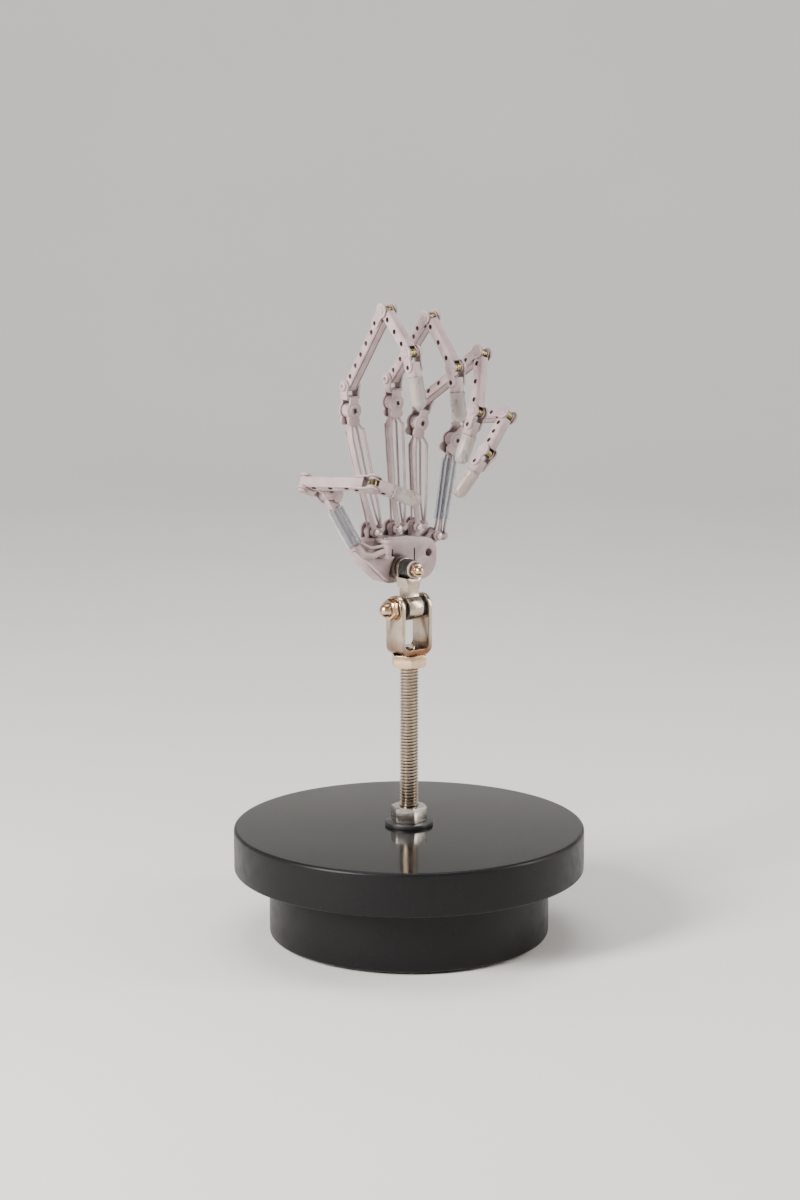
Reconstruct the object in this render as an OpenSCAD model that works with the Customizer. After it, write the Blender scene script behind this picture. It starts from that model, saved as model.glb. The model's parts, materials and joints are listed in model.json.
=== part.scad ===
// Articulated mechanical hand on a threaded rod with a double swivel and a round weighted base.
// Frame: millimetres, origin at the centre of the base's underside, +Z up.
// The hand's own frame is turned by hand_yaw: its X runs across the palm from the index side to
// the little side, its -Y is the palm's facing direction, its Z points to the fingertips.

/* [Base] */
// Diameter of the overhanging lid
lid_d = 110; // [100:1:140]
// Height of the lid's rim
lid_h = 13.5; // [12:0.5:16]
// Diameter of the drum under the lid
drum_d = 88; // [80:1:96]
// Height of the lid's top face above the ground
base_h = 35; // [34:0.5:60]
// How far the rubber foot ring stands out below the cover
foot_gap = 0.8; // [0.5:0.1:1.5]

/* [Rod and fork] */
// Thread diameter of the upright rod
rod_d = 6; // [6:0.5:6.5]
// Height of the fork's seat above the lid
rod_reach = 54.7; // [30:0.1:90]
// Nut width across its flats
nut_af = 10; // [10:0.5:11]
// Overall width of the fork across its two ears
fork_w = 11.6; // [11:0.1:13]
// Width of the fork's straps
fork_strap = 8.2; // [7:0.1:9]
// Height of the tilt bolt above the fork's seat
tilt_h = 14.6; // [13:0.1:18]
// Height of the wrist bolt above the tilt bolt
wrist_h = 12.1; // [12:0.1:14]
// Diameter of the tilt bolt
tilt_bolt_d = 3.5; // [3:0.1:3.6]
// Diameter of the wrist bolt
wrist_bolt_d = 2.5; // [2.5:0.1:3]

/* [Hand] */
// Turn of the hand about the vertical, anticlockwise seen from above
hand_yaw = 38; // [0:1:60]
// Depth of the palm's face behind the wrist bolt's centre
palm_face = 6.5; // [6:0.1:8]
// Thickness of the palm block
palm_t = 7.5; // [7:0.1:9]
// Depth of the row of finger pins behind the wrist bolt's centre
pin_row = 9; // [8.5:0.1:10]

/* [Index finger] */
// Base pin's place across the palm and above the wrist bolt
index_base = [-6, 11.5]; // [-20:0.5:20]
// Lengths of the metacarpal, knuckle, proximal and middle links
index_links = [39.5, 7.5, 30, 16.5]; // [7:0.5:45]
// Splay and backward lean of the metacarpal, and turn of the knuckle
index_aim = [-16, 2, 15]; // [-25:1:30]
// Flexion at the three finger joints
index_flex = [36, 98, 31]; // [0:1:115]

/* [Middle finger] */
// Base pin's place across the palm and above the wrist bolt
middle_base = [3, 11.5]; // [-20:0.5:20]
// Lengths of the metacarpal, knuckle, proximal and middle links
middle_links = [39.5, 7.5, 27.5, 18.5]; // [7:0.5:45]
// Splay and backward lean of the metacarpal, and turn of the knuckle
middle_aim = [-5, 2, 3]; // [-25:1:30]
// Flexion at the three finger joints
middle_flex = [42, 97, 36]; // [0:1:115]

/* [Ring finger] */
// Base pin's place across the palm and above the wrist bolt
ring_base = [11, 11.5]; // [-20:0.5:20]
// Lengths of the metacarpal, knuckle, proximal and middle links
ring_links = [33, 7.5, 26.5, 18.5]; // [7:0.5:45]
// Splay and backward lean of the metacarpal, and turn of the knuckle
ring_aim = [-5, 5, 22]; // [-25:1:30]
// Flexion at the three finger joints
ring_flex = [48, 114, 22]; // [0:1:115]

/* [Little finger] */
// Base pin's place across the palm and above the wrist bolt
little_base = [19, 7.5]; // [-20:0.5:20]
// Lengths of the metacarpal, knuckle, proximal and middle links
little_links = [30.5, 8, 18.5, 13.5]; // [7:0.5:45]
// Splay and backward lean of the metacarpal, and turn of the knuckle
little_aim = [8, 3, 26]; // [-25:1:30]
// Flexion at the three finger joints
little_flex = [78, 102, 11]; // [0:1:115]

/* [Thumb] */
// Place of the hinge on the palm's front, from the wrist bolt
thumb_hinge = [-6.5, 3, 6.5]; // [-10:0.1:10]
// Place of the elbow where the thumb's rails turn up into the sleeve
thumb_elbow = [-17.3, 3, 6.3]; // [-20:0.1:10]
// Turn, lean and splay of the thumb's straight stretch
thumb_turn = [-6, -23, -19]; // [-60:1:60]
// Lengths of the straight stretch, knuckle, proximal link and distal link
thumb_links = [20.5, 8, 23.5, 15.5]; // [7:0.5:45]
// Turn of the knuckle
thumb_spread = -42; // [-50:1:0]
// Flexion at the two thumb joints
thumb_flex = [127, 43]; // [0:1:127]

/* [Links] */
// Width of a finger link across the joint axis
link_w = 3.6; // [3.4:0.1:3.8]
// Depth of a finger link from back to palm side
link_d = 3.2; // [3:0.1:3.4]
// Diameter of a hinge pin
pin_d = 1.2; // [1:0.1:1.3]
// Distance from a fingertip joint to the tip of its cap
tip_reach = 16.5; // [15:0.1:18]
// Outside diameter of a fingertip cap
cap_d = 4.8; // [4.6:0.1:5]
// Length of a fingertip cap
cap_len = 9.3; // [8:0.1:10]

/* [Hidden] */
$fn = 48;

// Fingers are called by number: index, middle, ring, little
INDEX = 0;
MIDDLE = 1;
RING = 2;
LITTLE = 3;
finger_base = [index_base, middle_base, ring_base, little_base];
finger_links = [index_links, middle_links, ring_links, little_links];
finger_aim = [index_aim, middle_aim, ring_aim, little_aim];
finger_flex = [index_flex, middle_flex, ring_flex, little_flex];

run_gap = 0.05;
drum_r = drum_d / 2;
lid_r = lid_d / 2;
lid_z = base_h - lid_h;
lid_plate = 5.5;
spigot_r = drum_r - 4;
cover_r = drum_r - 3;
cover_t = 3;
cover_screw_r = drum_r - 7;
foot_r = [24, 32];
foot_t = 2;
washer_t = 1.2;
nut_h = 5;
jam_nut_h = 3.9;
rod_r = rod_d / 2 - 0.05;
rod_hole_r = rod_d / 2;
fork_z = base_h + rod_reach;
fork_floor = 1.8;
fork_t = 1.2;
tilt_z = fork_z + tilt_h;
wrist_z = tilt_z + wrist_h;
eye_w = 5.3;
eye_r = 4;
yoke_r = 3.1;
yoke_back = 3;
yoke_t = 1.3;
spacer_r = 3;
spacer_front = -2.3;
pad_gap = 0.2;
pad_r = 3.7;
palm_back = palm_face + palm_t;

link_r = link_d / 2;
plate_t = 0.55;
groove_w = 0.25;
groove_depth = 1.5;
ear_in = link_w / 2 + 0.07;
ear_out = ear_in + 0.45;
ear_r = 2.2;
ear_clear = 2.9;
pin_r = pin_d / 2;
bush_r = 1.35;
bush_half = 1.05;
arm_in = link_w / 2 + 0.07;
arm_out = arm_in + 0.6;
arm_r = 1.95;
drum_half = 1.5;
plate_in = drum_half + run_gap;
plate_out = plate_in + 0.7;
eyelet_r = 1.2;
eyelet_flange = 2;
hub_x = -1.5;
ball_x = 1.8;
ball_r = 1.5;
lug_r = 1.7;
sleeve_wall = 0.35;

plastic = [0.84, 0.79, 0.79];
nickel = [0.72, 0.68, 0.62];
brass = [0.72, 0.55, 0.35];
black = [0.05, 0.05, 0.055];
clear = [0.75, 0.77, 0.82, 0.45];
milky = [0.86, 0.84, 0.82, 0.7];

// ---- Placement of each body's frame ----

module at_hand() translate([0, 0, wrist_z]) rotate([0, 0, hand_yaw]) children();
module at_tilt() translate([0, 0, tilt_z]) rotate([0, 0, hand_yaw]) children();
module at_pin(f) at_hand() translate([finger_base[f][0], pin_row, finger_base[f][1]]) children();
module at_metacarpal(f) at_pin(f) rotate([0, finger_aim[f][0], 0])
    rotate([finger_aim[f][1], 0, 0]) children();
module at_knuckle(f) at_metacarpal(f) translate([0, 0, finger_links[f][0]])
    rotate([0, finger_aim[f][2], 0]) children();
module at_proximal(f) at_knuckle(f) translate([0, 0, finger_links[f][1]])
    rotate([finger_flex[f][0], 0, 0]) children();
module at_middle(f) at_proximal(f) translate([0, 0, finger_links[f][2]])
    rotate([finger_flex[f][1], 0, 0]) children();
module at_distal(f) at_middle(f) translate([0, 0, finger_links[f][3]])
    rotate([finger_flex[f][2], 0, 0]) children();
module at_thumb() at_hand() translate(thumb_elbow) rotate([0, 0, thumb_turn[0]])
    rotate([thumb_turn[1], 0, 0]) rotate([0, thumb_turn[2], 0]) children();
module at_thumb_knuckle() at_thumb() translate([0, 0, thumb_links[0]])
    rotate([0, thumb_spread, 0]) children();
module at_thumb_proximal() at_thumb_knuckle() translate([0, 0, thumb_links[1]])
    rotate([thumb_flex[0], 0, 0]) children();
module at_thumb_distal() at_thumb_proximal() translate([0, 0, thumb_links[2]])
    rotate([thumb_flex[1], 0, 0]) children();

// ---- Shared shapes ----

module rod_x(r, x0, x1) translate([x0, 0, 0]) rotate([0, 90, 0]) cylinder(r = r, h = x1 - x0);
module rod_y(r, y0, y1) translate([0, y1, 0]) rotate([90, 0, 0]) cylinder(r = r, h = y1 - y0);
module both_sides() {
    children();
    mirror([1, 0, 0]) children();
}

// Point of a round-cornered outline, used to list arcs by formula
function arc(centre, r, from, to, n = 8) =
    [for (i = [0 : n]) centre + r * [cos(from + (to - from) * i / n), sin(from + (to - from) * i / n)]];

// Hexagon nut with both rims chamfered, its bottom face at z = 0
module hex_nut(af, h, hole_r) {
    rim = af / 2 / cos(30);
    difference() {
        intersection() {
            cylinder(r = rim, h = h, $fn = 6);
            rotate_extrude() polygon([[0, 0], [af / 2, 0], [rim, 0.35], [rim, h - 0.35],
                [af / 2, h], [0, h]]);
        }
        translate([0, 0, -1]) cylinder(r = hole_r, h = h + 2);
    }
}

// Cap nut: a hexagon with a dome, blind hole from below
module cap_nut(af, hex_h, dome_r, hole_r) difference() {
    union() {
        hex_nut(af, hex_h, 0.4);
        translate([0, 0, hex_h - 0.3]) cylinder(r = dome_r, h = 0.9);
        translate([0, 0, hex_h + 0.6]) difference() {
            sphere(r = dome_r);
            translate([-dome_r * 2, -dome_r * 2, -dome_r * 4]) cube(dome_r * 4);
        }
    }
    translate([0, 0, -1]) cylinder(r = hole_r, h = hex_h + 1.3);
}

module washer(r, hole_r, h) difference() {
    cylinder(r = r, h = h);
    translate([0, 0, -1]) cylinder(r = hole_r, h = h + 2);
}

// Flat bar from one point to a little past another, its width along X and its thickness along Y
module bar(from, to, w, t) {
    d = to - from;
    len = norm(d);
    translate(from) rotate([0, atan2(d[0], d[2]), 0]) rotate([-asin(d[1] / len), 0, 0])
        translate([-w / 2, -t / 2, 0]) cube([w, t, len + 0.15]);
}

// Plate standing on its foot, with a round top about the Y axis
module lug(r, y0, y1, foot) translate([0, y1, 0]) rotate([90, 0, 0]) linear_extrude(y1 - y0)
    polygon(concat(arc([0, 0], r, 0, 180, 14), [[-r, -foot], [r, -foot]]));

// Solid of a link between two heights, with bevelled back edges and two palm-side grooves
module link_bar(z0, z1) difference() {
    translate([0, 0, z0]) linear_extrude(z1 - z0) polygon([
        [-link_w / 2 + 0.25, -link_r], [link_w / 2 - 0.25, -link_r], [link_w / 2, -link_r + 0.25],
        [link_w / 2, link_r - 0.6], [link_w / 2 - 0.6, link_r], [-link_w / 2 + 0.6, link_r],
        [-link_w / 2, link_r - 0.6], [-link_w / 2, -link_r + 0.25]]);
    both_sides() translate([link_w / 2 - plate_t - groove_w, -link_r - 1, z0 - 1])
        cube([groove_w, groove_depth + 1, z1 - z0 + 2]);
}

// Shallow round recesses on both sides of a link
module side_holes(heights, r, x) for (z = heights) both_sides()
    translate([0, 0, z]) rod_x(r, x - 0.85, x + 1);

// Pair of outer ears about the joint at height z, rooted dir * reach along the link
module ears(z, dir, reach) both_sides() {
    translate([0, 0, z]) rod_x(ear_r, ear_in - 0.3, ear_out);
    translate([ear_in - 0.3, -1.5, min(z, z + dir * reach)])
        cube([ear_out - ear_in + 0.3, 3, reach]);
    translate([0, 0, z + dir * reach]) rod_x(1.5, ear_in - 0.3, ear_out);
}

// Room between the ears for the neighbouring link
module ear_room(z, dir) translate([-ear_in, -4, dir > 0 ? z - 4 : z - ear_clear])
    cube([2 * ear_in, 8, ear_clear + 4]);

// Round end of a link that runs between the ears, with a slot for the bush
module tongue_end(z) translate([0, 0, z]) rod_x(link_r, -link_w / 2, link_w / 2);
module bush_slot(z, dir) translate([-bush_half - 0.05, -2.5, dir > 0 ? z - 2.5 : z - bush_r - 0.1])
    cube([2 * bush_half + 0.1, 5, bush_r + 2.6]);
module pin_hole(z, r) translate([0, 0, z]) rod_x(r, -5, 5);

// ---- Base ----

module base_lid() color(black) rotate_extrude($fn = 96) polygon([
    [rod_hole_r + 0.2, base_h - lid_plate], [spigot_r + 0.1, base_h - lid_plate],
    [spigot_r + 0.1, lid_z], [lid_r - 0.8, lid_z], [lid_r, lid_z + 0.8],
    [lid_r, base_h - 0.5], [lid_r - 0.5, base_h], [rod_hole_r + 0.2, base_h]]);

module base_drum() color(black) difference() {
    rotate_extrude($fn = 96) polygon([
        [cover_r + 0.1, foot_gap], [drum_r - 1, foot_gap], [drum_r, foot_gap + 1],
        [drum_r, lid_z], [spigot_r, lid_z], [spigot_r, base_h - lid_plate - 0.2],
        [spigot_r - 4, base_h - lid_plate - 0.2], [spigot_r - 4, foot_gap + cover_t + 6],
        [spigot_r - 8, foot_gap + cover_t + 6], [spigot_r - 8, foot_gap + cover_t],
        [cover_r + 0.1, foot_gap + cover_t]]);
    at_cover_screws() cylinder(r = 1.5, h = 5 + cover_t);
}

module at_cover_screws() for (a = [90, 210, 330])
    rotate([0, 0, a]) translate([cover_screw_r, 0, foot_gap]) children();

module bottom_cover() color(black) difference() {
    translate([0, 0, foot_gap]) cylinder(r = cover_r, h = cover_t, $fn = 96);
    rotate_extrude($fn = 96) translate([foot_r[0] - 0.1, foot_gap - 1])
        square([foot_r[1] - foot_r[0] + 0.2, foot_t - foot_gap + 1]);
    at_cover_screws() translate([0, 0, -1]) cylinder(r = 1.55, h = 9);
    at_cover_screws() translate([0, 0, -0.01]) cylinder(r1 = 3.06, r2 = 1.55, h = 1.52);
}

module cover_screws() color(nickel) at_cover_screws() {
    translate([0, 0, 0.05]) cylinder(r1 = 2.9, r2 = 1.45, h = 1.45);
    translate([0, 0, 1.45]) cylinder(r = 1.45, h = 6);
}

module foot_ring() color([0.12, 0.12, 0.12]) rotate_extrude($fn = 96) translate([foot_r[0], 0])
    square([foot_r[1] - foot_r[0], foot_t]);

// ---- Rod and fork ----

module threaded_rod() color(nickel) {
    bottom = base_h - lid_plate - washer_t - nut_h - 2;
    top = fork_z + fork_floor + 0.7;
    rotate_extrude() polygon([[0, bottom], [rod_r - 0.5, bottom], [rod_r, bottom + 0.5],
        [rod_r, top - 0.5], [rod_r - 0.5, top], [0, top]]);
}

module rod_nuts() color(brass) {
    translate([0, 0, base_h - lid_plate - washer_t - nut_h]) hex_nut(nut_af, nut_h, rod_hole_r);
    translate([0, 0, base_h + washer_t]) rotate([0, 0, -13]) hex_nut(nut_af, nut_h, rod_hole_r);
    translate([0, 0, fork_z - jam_nut_h]) rotate([0, 0, 37]) hex_nut(nut_af, jam_nut_h, rod_hole_r);
}

module rod_washers() color(black) {
    translate([0, 0, base_h]) washer(7.5, rod_hole_r + 0.2, washer_t);
    translate([0, 0, base_h - lid_plate - washer_t]) washer(9, rod_hole_r + 0.2, washer_t);
}

// U-shaped fork: a bent strap seated on the jam nut, with round-ended ears
module rod_fork() color(nickel) at_tilt() translate([0, 0, -tilt_h]) difference() {
    intersection() {
        rotate([90, 0, 0]) translate([0, 0, -fork_strap / 2]) linear_extrude(fork_strap)
            polygon(concat(arc([2.8 - fork_w / 2, 2.8], 2.8, 180, 270),
                arc([fork_w / 2 - 2.8, 2.8], 2.8, 270, 360), [[fork_w / 2, 30], [-fork_w / 2, 30]]));
        union() {
            rotate([90, 0, 90]) translate([0, 0, -fork_w]) linear_extrude(2 * fork_w)
                polygon([[-fork_strap / 2, 0], [fork_strap / 2, 0],
                    [fork_strap / 2, tilt_h], [-fork_strap / 2, tilt_h]]);
            translate([0, 0, tilt_h]) rod_x(fork_strap / 2, -fork_w, fork_w);
        }
    }
    rotate([90, 0, 0]) translate([0, 0, -fork_strap]) linear_extrude(2 * fork_strap)
        polygon(concat(arc([fork_t + 1.6 - fork_w / 2, fork_floor + 1.6], 1.6, 180, 270),
            arc([fork_w / 2 - fork_t - 1.6, fork_floor + 1.6], 1.6, 270, 360),
            [[fork_w / 2 - fork_t, 40], [fork_t - fork_w / 2, 40]]));
    translate([0, 0, -1]) cylinder(r = rod_hole_r, h = fork_floor + 2);
    translate([0, 0, tilt_h]) rod_x(tilt_bolt_d / 2 + 0.02, -fork_w, fork_w);
}

module fork_bolt() color(brass) at_tilt() {
    rod_x(tilt_bolt_d / 2, -fork_w / 2 - 2.2, fork_w / 2 + 0.2);
    translate([fork_w / 2, 0, 0]) rotate([0, 90, 0]) rotate_extrude()
        polygon([[0, 0], [2.4, 0], [2.4, 0.4], [2, 1], [1.2, 1.4], [0, 1.5]]);
}

module fork_nut() color(brass) at_tilt() translate([-fork_w / 2, 0, 0]) rotate([0, -90, 0]) {
    washer(3.7, tilt_bolt_d / 2 + 0.05, 0.5);
    translate([0, 0, 0.5]) rotate([0, 0, 12]) cap_nut(6, 2, 2.2, tilt_bolt_d / 2 + 0.02);
}

module fork_spacers() color(black) at_tilt() both_sides() difference() {
    rod_x(3.1, eye_w / 2 + 0.05, fork_w / 2 - fork_t);
    rod_x(tilt_bolt_d / 2 + 0.02, 0, fork_w);
}

// ---- Swivel link between the tilt bolt and the wrist bolt ----

module swivel_link() color(nickel) at_tilt() difference() {
    union() {
        rod_x(eye_r, -eye_w / 2, eye_w / 2);
        translate([-2.3, -1.95, 0]) cube([4.6, 3.9, 6.4]);
        translate([0, yoke_back, wrist_h]) rotate([90, 0, 0])
            linear_extrude(yoke_back - spacer_front) polygon([[-2.3, -5.8], [2.3, -5.8],
                [2.5, -4.4], [3.1, -2.6], [-3.1, -2.6], [-2.5, -4.4]]);
        translate([0, 0, wrist_h]) rod_y(yoke_r, yoke_back - yoke_t, yoke_back);
        translate([-yoke_r, yoke_back - yoke_t, wrist_h - 3]) cube([2 * yoke_r, yoke_t, 3]);
    }
    translate([0, 0, wrist_h]) rod_y(spacer_r + 0.05, -6, yoke_back - yoke_t);
    translate([0, 0, wrist_h]) rod_y(wrist_bolt_d / 2 + 0.02, -8, 8);
    rod_x(tilt_bolt_d / 2 + run_gap, -6, 6);
}

module wrist_bolt() color(brass) at_hand() {
    rod_y(wrist_bolt_d / 2, spacer_front - 2.2, palm_back - 2.6);
    rod_y(2.75, palm_back - 2.6, palm_back - 0.6);
}

module wrist_nut() color(brass) at_hand() translate([0, spacer_front, 0]) rotate([90, 0, 0]) {
    washer(2.8, wrist_bolt_d / 2 + 0.05, 0.5);
    translate([0, 0, 0.5]) rotate([0, 0, 8]) cap_nut(3.9, 1.6, 1.5, wrist_bolt_d / 2 + 0.02);
}

module wrist_spacer() color(black) at_hand() difference() {
    rod_y(spacer_r, spacer_front, yoke_back - yoke_t);
    rod_y(wrist_bolt_d / 2 + 0.02, -6, 6);
}

// ---- Palm ----

// Outline of the palm seen from the front, rounded on the little-finger side
function palm_outline() = concat([[-14, 8.3], [-15, 5.6], [-10.5, 0.6], [-5.4, -4]],
    arc([-2.5, -1.8], 3.4, 225, 270, 4), arc([10, 0.8], 6, 270, 360), arc([11.5, 3.4], 4.5, 0, 80),
    [[4, 9], [-9, 9.4]]);

module palm_slab(from, to) translate([0, to, 0]) rotate([90, 0, 0]) linear_extrude(to - from)
    children();

// Lugs on the palm's top edge, carrying one finger's base pin
module finger_lug(f) at_pin(f) rotate([finger_aim[f][1], 0, 0]) translate([hub_x, 0, 0])
    rotate([0, f == LITTLE ? 55 : 0, 0]) {
        lug(lug_r, -0.5, 1.4, 4.2);
        lug(2.4, 2.5, 3.5, 4.2);
    }

// Two lugs on the palm's front that hold the thumb's upright hinge pin
module thumb_lugs() translate(thumb_hinge) for (z = [1.7, -2.9])
    translate([0, 0, z]) rotate([90, 0, 0]) lug(1.5, 0, 1.2, palm_face - thumb_hinge[1] + 0.5);

// Raised heel of the palm below the thumb's rails
module palm_heel() palm_slab(palm_face - 2.3, palm_face + 0.1) polygon([
    [-13.2, 3.4], [-10.1, 0.7], [-5.2, -3.8], [-4.6, -1.5], [-3.6, 1], [-2.4, 3.4]]);

// Everything cut out of the palm: wrist bore and socket, side hole, two slots, thumb hollow
module palm_cuts() {
    rod_y(wrist_bolt_d / 2 + run_gap, 0, 20);
    rod_y(3, palm_back - 2.7, 20);
    translate([12.9, 0, 3]) rod_y(1.3, 0, 20);
    for (slot = [[-1.5, -1.2, 6.6], [7.2, 1, 4]])
        translate([slot[0] - 0.25, palm_face - 1, slot[1]]) cube([0.5, 3.2, slot[2]]);
    palm_slab(palm_face - 1, palm_face + 2.2) polygon(concat(
        arc([-8.8, 6.4], 2.1, 90, 270), [[-4.8, 4.3], [-4.8, 8.5]]));
    translate(thumb_hinge) translate([0, 0, -4]) cylinder(r = pin_r, h = 8);
}

module palm_block() color(plastic) difference() {
    union() {
        at_hand() {
            palm_slab(palm_face, palm_back - 1.2) polygon(palm_outline());
            palm_slab(palm_back - 1.3, palm_back) offset(delta = -1.2) polygon(palm_outline());
            palm_heel();
            thumb_lugs();
        }
        for (f = [INDEX : LITTLE]) finger_lug(f);
    }
    at_hand() palm_cuts();
    for (f = [INDEX : LITTLE]) at_metacarpal(f) translate([hub_x, 0, 0]) rod_y(pin_r, -3, 5);
}

module wrist_boss_pad() color([0.16, 0.14, 0.13]) at_hand() difference() {
    rod_y(pad_r, yoke_back + pad_gap, palm_face);
    rod_y(wrist_bolt_d / 2 + run_gap, 0, 8);
}

module palm_hinge_pins() color(nickel) {
    for (f = [INDEX : LITTLE]) at_metacarpal(f) translate([hub_x, 0, 0]) {
        rod_y(pin_r - 0.02, -2.2, 3.6);
        rod_y(0.95, -2.35, -1.98);
    }
    at_hand() translate(thumb_hinge) {
        translate([0, 0, -3.1]) cylinder(r = pin_r - 0.02, h = 6.2);
        translate([0, 0, 2.92]) cylinder(r = 1, h = 0.4);
    }
}

// ---- Metacarpals ----

// Drum, neck and splayed shoulders that carry the knuckle at height top
module metacarpal_head(top, half_x, half_y) {
    translate([0, 0, top]) rod_y(2.2, -drum_half, drum_half);
    translate([-1.5, -1.25, top - 5]) cube([3, 2.5, 5]);
    for (x = [-1, 1], y = [-1, 1])
        bar([x * 1.05, y * 0.8, top - 4.6], [x * half_x, y * half_y, top - 7.4], 1, 0.8);
}

module metacarpal_head_bore(top) translate([0, 0, top]) rod_y(eyelet_r + run_gap, -3, 3);

// Base: two rings that straddle the palm's lug and a ball beside them
module metacarpal_foot() {
    translate([hub_x, 0, 0]) {
        rod_y(1.6, -1.95, -0.6);
        rod_y(1.6, 1.5, 2.4);
    }
    translate([hub_x, -1.85, -0.6]) cube([ball_x - hub_x, 1.15, 1.2]);
    translate([ball_x + 0.5, 0.2, -0.6]) cube([0.9, 2.1, 1.2]);
    translate([hub_x, 1.55, -0.6]) cube([ball_x - hub_x + 1.2, 0.75, 1.2]);
    translate([ball_x, 0, 0]) sphere(r = ball_r);
}

module metacarpal(f) at_metacarpal(f) {
    top = finger_links[f][0];
    sleeved = f == LITTLE;
    half_x = sleeved ? 1.3 : 2.15;
    half_y = sleeved ? 1.1 : 1.6;
    low = sleeved ? 3.6 : 9;
    low_x = sleeved ? 1.05 : 1.85;
    low_y = sleeved ? 0.95 : 1.4;
    strap = sleeved ? [0.9, 0.9] : [1.1, 2.3];
    strap_y = sleeved ? [-low_y, -half_y] : [-0.9, -0.4];
    difference() {
        union() {
            metacarpal_head(top, half_x, half_y);
            metacarpal_foot();
            bar([hub_x, -1.25, 0.4], [-low_x, -1.25, low], strap[0] + 0.1, 0.9);
            bar([-low_x, strap_y[0], low], [-half_x, strap_y[1], top - 7.2], strap[0], strap[1]);
            for (leg = [[hub_x, 1.95, -1, 1], [ball_x, -0.5, 1, -1], [ball_x + 0.2, 0.5, 1, 1]]) {
                knee = [leg[2] * low_x, leg[3] * low_y, low];
                bar([leg[0], leg[1], 0.8], knee, 0.8, 0.75);
                bar(knee, [leg[2] * half_x, leg[3] * half_y, top - 7.4], 0.85, 0.7);
            }
        }
        metacarpal_head_bore(top);
        translate([hub_x, 0, 0]) rod_y(pin_r + 0.03, -4, 4);
    }
}

module index_metacarpal() color(plastic) metacarpal(INDEX);
module middle_metacarpal() color(plastic) metacarpal(MIDDLE);
module ring_metacarpal() color(plastic) metacarpal(RING);
module little_metacarpal() color(plastic) metacarpal(LITTLE);

module little_sleeve() color(clear) at_metacarpal(LITTLE)
    sleeve(5.2, finger_links[LITTLE][0] - 6, 2.5, 2.65);

// Thin tube between two heights, slightly tapered
module sleeve(z0, z1, r0, r1) translate([0, 0, z0]) difference() {
    cylinder(r1 = r0, r2 = r1, h = z1 - z0);
    translate([0, 0, -0.01]) cylinder(r1 = r0 - sleeve_wall, r2 = r1 - sleeve_wall, h = z1 - z0 + 0.02);
}

// The thumb's metacarpal: hinge hub, two curved rails and a straight cage up to the knuckle
module thumb_metacarpal() color(plastic) {
    top = thumb_links[0];
    hub = thumb_hinge;
    elbow = thumb_elbow;
    at_hand() difference() {
        union() {
            translate(hub + [0, 0, -1.6]) cylinder(r = 1.5, h = 3.2);
            hull() {
                translate(hub + [-1, 0, -0.6]) sphere(d = 1.9, $fn = 24);
                translate(elbow + [5, -0.3, -1.5]) sphere(d = 2.1, $fn = 24);
            }
            hull() {
                translate(elbow + [5, -0.3, -1.5]) sphere(d = 2.1, $fn = 24);
                translate(elbow + [1.7, -0.2, -0.9]) sphere(d = 2.4, $fn = 24);
            }
            hull() {
                translate(elbow + [1.7, -0.2, -0.9]) sphere(d = 2.4, $fn = 24);
                translate(elbow + [-0.5, 0.3, 1.6]) sphere(d = 2.6, $fn = 24);
            }
            hull() {
                translate(hub + [-1, 0, 1]) sphere(d = 1, $fn = 24);
                translate(elbow + [5, 0, 0.9]) sphere(d = 1, $fn = 24);
            }
            hull() {
                translate(elbow + [5, 0, 0.9]) sphere(d = 1, $fn = 24);
                translate(elbow + [0.8, 0.4, 2.9]) sphere(d = 1.1, $fn = 24);
            }
        }
        translate(hub + [0, 0, -4]) cylinder(r = pin_r + 0.03, h = 8);
    }
    at_thumb() difference() {
        union() {
            metacarpal_head(top, 1.3, 1.1);
            for (x = [-1, 1], y = [-1, 1])
                bar([x * 0.9, y * 0.8, 0.8], [x * 1.3, y * 1.1, top - 7.4], 0.85, 0.7);
            translate([0, 0, 1.2]) cylinder(r = 1.6, h = 1.2);
        }
        metacarpal_head_bore(top);
    }
}

module thumb_sleeve() color(clear) at_thumb() sleeve(2.6, thumb_links[0] - 5.4, 2.55, 2.7);

// ---- Knuckles ----

// Two plates about the eyelet, a floor above the drum and two arms about the flexion axis
module knuckle(reach) difference() {
    union() {
        for (s = [0, 1]) mirror([0, s, 0]) {
            rod_y(2.6, plate_in, plate_out);
            translate([0, plate_out, 0]) rotate([90, 0, 0]) linear_extrude(plate_out - plate_in)
                polygon([[-1.4, -4.5], [1.4, -4.5], [2.1, -3.8], [2.1, -2.6], [1.7, -2.2],
                    [2.3, -1], [1.55, 2.6], [1.45, reach - 3.4], [-1.45, reach - 3.4],
                    [-1.55, 2.6], [-2.3, -1], [-1.7, -2.2], [-2.1, -2.6], [-2.1, -3.8]]);
        }
        translate([-1.45, -plate_out, reach - 4.4]) cube([2.9, 2 * plate_out, 1]);
        translate([-arm_out, -1.6, reach - 4]) cube([2 * arm_out, 3.2, 0.9]);
        both_sides() {
            translate([0, 0, reach]) rod_x(arm_r, arm_in, arm_out);
            translate([arm_out, 0, reach]) rotate([90, 0, -90]) linear_extrude(arm_out - arm_in)
                polygon([[-1.9, 0.3], [-1.35, -4], [1.35, -4], [1.9, 0.3]]);
        }
    }
    rod_y(eyelet_r + 0.02, -4, 4);
    pin_hole(reach, pin_r + 0.02);
}

module index_knuckle() color(plastic) at_knuckle(INDEX) knuckle(finger_links[INDEX][1]);
module middle_knuckle() color(plastic) at_knuckle(MIDDLE) knuckle(finger_links[MIDDLE][1]);
module ring_knuckle() color(plastic) at_knuckle(RING) knuckle(finger_links[RING][1]);
module little_knuckle() color(plastic) at_knuckle(LITTLE) knuckle(finger_links[LITTLE][1]);

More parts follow.
